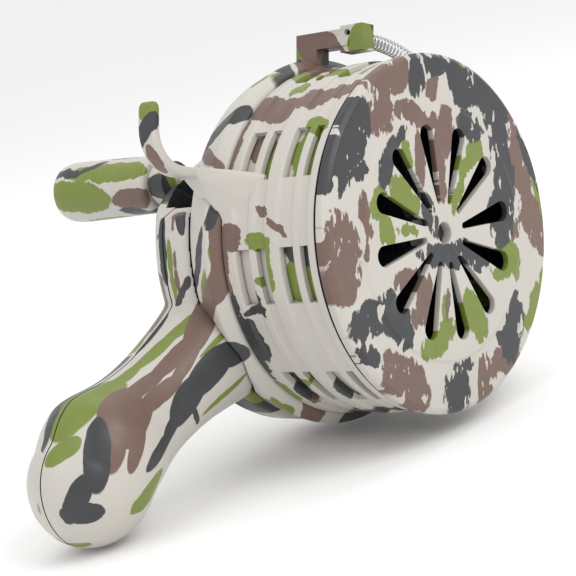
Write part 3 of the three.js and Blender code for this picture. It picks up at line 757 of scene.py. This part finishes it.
def grip(grow=0.0):
    """The grip with its round end, made thicker by grow."""
    first, last, steps = GRIP_STATIONS[0][0], GRIP_STATIONS[-1][0], 60
    rows = [smooth_stations(first + (last - first) * i / steps) for i in range(steps + 1)]
    for angle in range(6, 90, 6):
        c, s = math.cos(math.radians(angle)), math.sin(math.radians(angle))
        half = TIP_RADIUS * c
        rows.append((TIP_REACH + TIP_RADIUS * s, TIP_SIDEWAYS + 0.9 * c, half + 0.5 * c, half, TIP_DEPTH))
    rings = []
    for reach, sideways, half_width, half_depth, middle in rows:
        ring = []
        for i in range(96):
            a = 2 * math.pi * i / 96
            ring.append((reach, middle + (half_depth + grow) * math.sin(a),
                         -sideways - (half_width + grow) * math.cos(a)))
        rings.append(ring)
    return turned_by(add_rings(bmesh.new(), rings), GRIP_BEARING)


CASE_PROFILE = rounded_path([
    (0.01, CASE_FRONT), (54.6, CASE_FRONT), (56.6, CASE_FRONT + 2), (56.4, 67), (53.5, 71), (49, 75),
    (44, 78),
    (38, 80), (0.01, 80)], 2.5)


def case_body():
    """Housing and grip as one moulding with rounded inner corners."""
    body = make_object("moulding", lathe(CASE_PROFILE, 192))
    combine(body, turned_by(box((-80, 36), (40, 90), (-70, 70)), FLAT_BEARING), "INTERSECT")
    combine(body, grip(), "UNION")
    combine(body, lathe([(0.01, 0), (53.5, 0), (53.5, CASE_FRONT), (0.01, CASE_FRONT)], 192), "DIFFERENCE")
    modified(body, "REMESH", mode="VOXEL", voxel_size=0.7, adaptivity=0.0)
    modified(body, "SMOOTH", factor=0.5, iterations=5)
    edge_end = CASE_FRONT + 0.3
    edge = make_object("edge", lathe([(50, 40), (64, 40), (64, edge_end), (50, edge_end)], 192, closed=True))
    combine(edge, grip(0.2), "DIFFERENCE")
    return combine(body, edge, "DIFFERENCE")


moulding = case_body()
rear = moulding.copy()
rear.data = moulding.data.copy()
rear.name = "rear_moulding"
bpy.context.scene.collection.objects.link(rear)

combine(moulding, box((-FAR, FAR), (0, CASE_SPLIT - HALF_GAP), (-FAR, FAR)), "INTERSECT")
combine(moulding, lathe([(0.01, 50), (51.5, 50), (51.5, 70), (0.01, 70)], 128), "DIFFERENCE")
combine(moulding, turned_by(box((28, 70), (40, 70), (-48, 37.7)), FLAT_BEARING), "DIFFERENCE")
soften(moulding, 0.35, 60, 2)


def case_seam_shade(centre, normal):
    """True on the case's flat front edge and on the face that meets the rear case, which take black plastic as
    painted shade in the seams.
    """
    front_edge = CASE_FRONT - 0.3 < centre.y < CASE_FRONT + 0.6 and centre.length < 80
    return normal.y > 0.9 or (normal.y < -0.9 and front_edge)


finished(moulding, "housing", camo_shell, 50, ["middle_case"], case_seam_shade)

combine(rear, box((-FAR, FAR), (CASE_SPLIT + HALF_GAP, 100), (-FAR, FAR)), "INTERSECT")
rear_hollow = [(0.01, 60), (51.5, 60), (51.5, 69), (42, 76.5), (5.06, 76.5), (5.06, 90), (0.01, 90)]
combine(rear, lathe(rear_hollow, 128), "DIFFERENCE")
screws = [(polar(50.5, b), 68.3) for b in (184, 262, 325, 38)]
screws += [(across_grip(reach, smooth_stations(reach)[1]), 73) for reach in (76, 104)]
wells = [lathe([(0.01, y), (3.3, y), (3.3, 90), (0.01, 90)], 48, at) for at, y in screws]
combine(rear, joined(wells), "DIFFERENCE")
soften(rear, 0.35, 60, 2)
# painted shade: the rear case's face at the seam takes black plastic
finished(rear, "housing", camo_shell, 50, ["rear_case"], lambda c, n: n.y < -0.9)

shell_profile = rounded_path([
    (51.9, 42), (55.2, 42), (58.1, 45.2), (55.25, SEAM_SHELL - 0.2), (46, SEAM_SHELL - 0.2), (46, 51),
    (5.1, 51), (5.1, 47), (51.9, 47)], 0.9)
shell = make_object("shell_wall", lathe(shell_profile, 256, closed=True))
combine(shell, grip(0.8), "DIFFERENCE")
soften(shell, 0.3, 40, 2)


def shell_hollow_shade(centre, normal):
    """True inside the shell and on the cut that clears the root of the grip, faces which take black plastic as
    painted shade in the hollow and the trench.
    """
    radius = math.hypot(centre.x, centre.z)
    outward = (normal.x * centre.x + normal.z * centre.z) / radius
    return outward < 0.55 and not (centre.y < 42.4 or 44 < centre.y < 46 and outward > 0.2)


finished(shell, "housing", camo_shell, 40, ["front_shell"], shell_hollow_shade)

seat = make_object("spring_seat", box((-9.6, -4), (24.6, 33.5), (58, 66.4)))
combine(seat, box((-10, -4), (30, 51.5), (60, 65.4)), "UNION")
combine(seat, box((-10, -4), (43, 51.5), (55.5, 65.4)), "UNION")
hole = lathe([(0.01, -4), (1, -4), (1, 4), (0.01, 4)], 32)
hole.transform(Matrix.Translation((-9.6, 30.5, 64)) @ Matrix.Rotation(math.radians(90), 4, "Z"))
combine(seat, hole, "DIFFERENCE")
soften(seat, 0.5, 40, 3)
finished(seat, "housing", camo_shell, 40)

# ------------------------------------------------------------------ return spring


def tube_along(points, radius, sides=8):
    rings = []
    side = Vector((0, 1, 0))
    for i, p in enumerate(points):
        ahead = (Vector(points[min(i + 1, len(points) - 1)]) - Vector(points[max(i - 1, 0)])).normalized()
        side = (side - ahead * side.dot(ahead)).normalized()
        up = ahead.cross(side)
        rings.append([tuple(Vector(p) + radius * (math.cos(a) * side + math.sin(a) * up))
                      for a in [2 * math.pi * k / sides for k in range(sides)]])
    return add_rings(bmesh.new(), rings)


SPRING_PATH, SPRING_Y = 62.2, 29


def spring():
    """A coil bent along an arc about the rotor axis, just clear of both faces."""
    turns, per_turn, coil_r, wire = 21, 20, 2.25, 0.3
    first, last = 92.6, 60.6
    points = []
    for i in range(turns * per_turn + 1):
        t = i / (turns * per_turn)
        a = 2 * math.pi * i / per_turn
        x, z = polar(SPRING_PATH + coil_r * math.cos(a), first + (last - first) * t)
        points.append((x, SPRING_Y + coil_r * math.sin(a), z))
    return tube_along(points, wire)


coil = finished(make_object("spring_coil", spring()), "housing", steel, 60, ["return_spring"])
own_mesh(coil)

# ------------------------------------------------------------------ crank

HUB_R, EYE_R = 8.5, 6.8


def arm_outline():
    """Two round ends joined by their tangents, along +X."""
    slope = math.degrees(math.asin((HUB_R - EYE_R) / CRANK_RADIUS))
    hub = [polar(HUB_R, 90 - slope + (180 + 2 * slope) * i / 32) for i in range(33)]
    eye = [polar(EYE_R, -90 + slope + (180 - 2 * slope) * i / 32) for i in range(33)]
    return hub + [(CRANK_RADIUS + x, z) for x, z in eye]


arm = make_object("crank_bar", turned_by(prism(arm_outline(), 81, 87), CRANK_BEARING))
combine(arm, lathe([(0.01, 86), (7.4, 86), (7.4, 90), (0.01, 90)], 96), "UNION")
combine(arm, lathe([(0.01, 87.8), (3.4, 87.8), (3.4, 95), (0.01, 95)], 48), "DIFFERENCE")
combine(arm, lathe([(0.01, 80), (3.05, 80), (3.05, 86.9), (0.01, 86.9)], 48), "DIFFERENCE")
soften(arm, 0.9, 40, 4)
finished(arm, "crank", camo_arm, 40, ["crank_arm"])

knob_at = polar(CRANK_RADIUS, CRANK_BEARING)
knob_profile = rounded_path([
    (2.6, 88), (8.2, 88), (9.2, 89.4), (9.5, 100), (9.9, 118), (10, 126), (9.4, 129.6), (7.4, 131),
    (5.25, 131),
    (5.25, 122), (2.6, 122)], 1.2)
knob = make_object("knob_body", lathe(knob_profile, 128, knob_at, closed=True))
finished(knob, "knob", camo_knob, 50, ["crank_knob"])
cap_profile = rounded_path([(0.01, 126), (4.9, 126), (4.9, 130.8), (0.01, 130.9)], 0.6)
cap = make_object("knob_plug", lathe(cap_profile, 64, knob_at))
finished(cap, "knob", camo_knob, 50, ["knob_cap"])

# ------------------------------------------------------------------ floor, light and camera


def plain(name, tint, rough):
    graph = Graph(name)
    graph.shader.inputs["Base Color"].default_value = (*tint, 1)
    graph.shader.inputs["Roughness"].default_value = rough
    return graph.material


floor_mesh = bmesh.new()
bmesh.ops.create_grid(floor_mesh, x_segments=1, y_segments=1, size=6)
floor = make_object("floor", floor_mesh)
floor.data.materials.append(plain("floor_paint", (0.96, 0.96, 0.96), 0.9))

world = bpy.data.worlds.new("studio")
bpy.context.scene.world = world
world.use_nodes = True
world.node_tree.nodes["Background"].inputs["Color"].default_value = (1, 1, 1, 1)
world.node_tree.nodes["Background"].inputs["Strength"].default_value = 0.92


def area_light(name, place, power, size):
    """A soft lamp at a place in the drum frame, aimed at the drum."""
    data = bpy.data.lights.new(name, "AREA")
    data.energy = power
    data.shape = "DISK"
    data.size = size
    lamp = bpy.data.objects.new(name, data)
    bpy.context.scene.collection.objects.link(lamp)
    lamp.location = to_row(*place)
    aim = to_row(0, 40, 0) - lamp.location
    lamp.rotation_euler = aim.to_track_quat("-Z", "Y").to_euler()


area_light("key", (-250, -700, 600), 3.2, 0.6)
area_light("side", (-800, 100, 350), 1.0, 0.6)
area_light("top", (100, 100, 800), 1.2, 0.8)

CAMERA_AZIMUTH, CAMERA_ELEVATION = math.radians(-138.070), math.radians(-3.424)
right = Vector((-math.sin(CAMERA_AZIMUTH), math.cos(CAMERA_AZIMUTH), 0))
back = Vector((math.cos(CAMERA_ELEVATION) * math.cos(CAMERA_AZIMUTH),
               math.cos(CAMERA_ELEVATION) * math.sin(CAMERA_AZIMUTH), math.sin(CAMERA_ELEVATION)))
up = back.cross(right)
camera_data = bpy.data.cameras.new("camera")
camera_data.lens = 123.6
camera_data.sensor_width = 36
camera_data.clip_start = 0.01
camera = bpy.data.objects.new("camera", camera_data)
bpy.context.scene.collection.objects.link(camera)
facing = Matrix((right, up, back)).transposed().to_4x4()
camera.matrix_world = Matrix.Translation(to_row(-476.7, -364.1, -52.5)) @ TURN @ facing
bpy.context.scene.camera = camera
